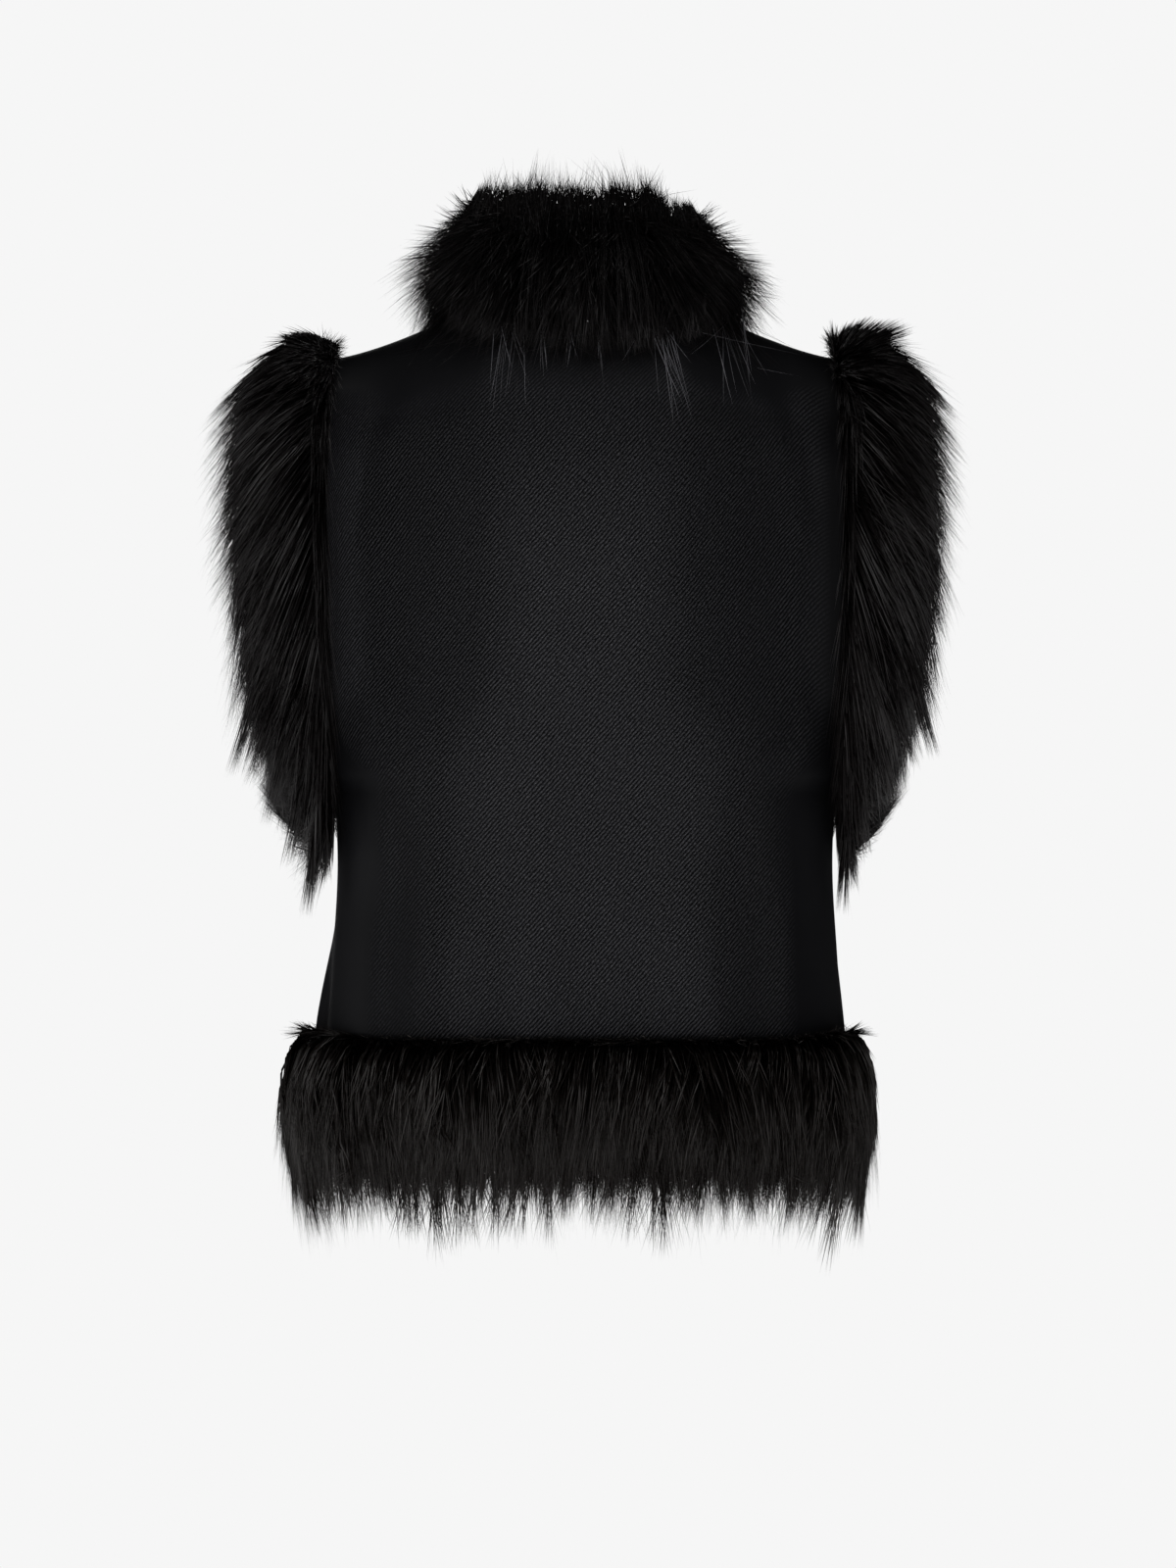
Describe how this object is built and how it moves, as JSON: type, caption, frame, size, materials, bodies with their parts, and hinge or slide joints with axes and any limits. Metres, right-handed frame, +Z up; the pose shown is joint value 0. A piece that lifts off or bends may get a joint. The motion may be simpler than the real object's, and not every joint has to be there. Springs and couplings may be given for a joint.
{
  "type": "fur trimmed vest",
  "caption": "Sleeveless thick wool vest, hollow as worn, with a standing fur collar, fur capped armholes and a wide long haired fur band at the hem.",
  "frame": {"origin": "between the shoulders, level with the point where each shoulder seam meets the collar, in the plane of the shoulder and side seams", "axes": "+X to the wearer's left, -Y out of the wearer's chest, +Z up"},
  "size_m": [0.5598, 0.294, 0.7819],
  "materials": {
    "wool_twill": "matte black wool twill with a fine diagonal rib",
    "fur": "long black dyed fur with soft shine on the guard hairs"
  },
  "bodies": {
    "root": {"back_panel": "wool_twill", "front_left": "wool_twill", "front_right": "wool_twill", "collar_fur": "fur", "arm_fur_left": "fur", "arm_fur_right": "fur", "hem_fur": "fur"}
  },
  "joints": []
}
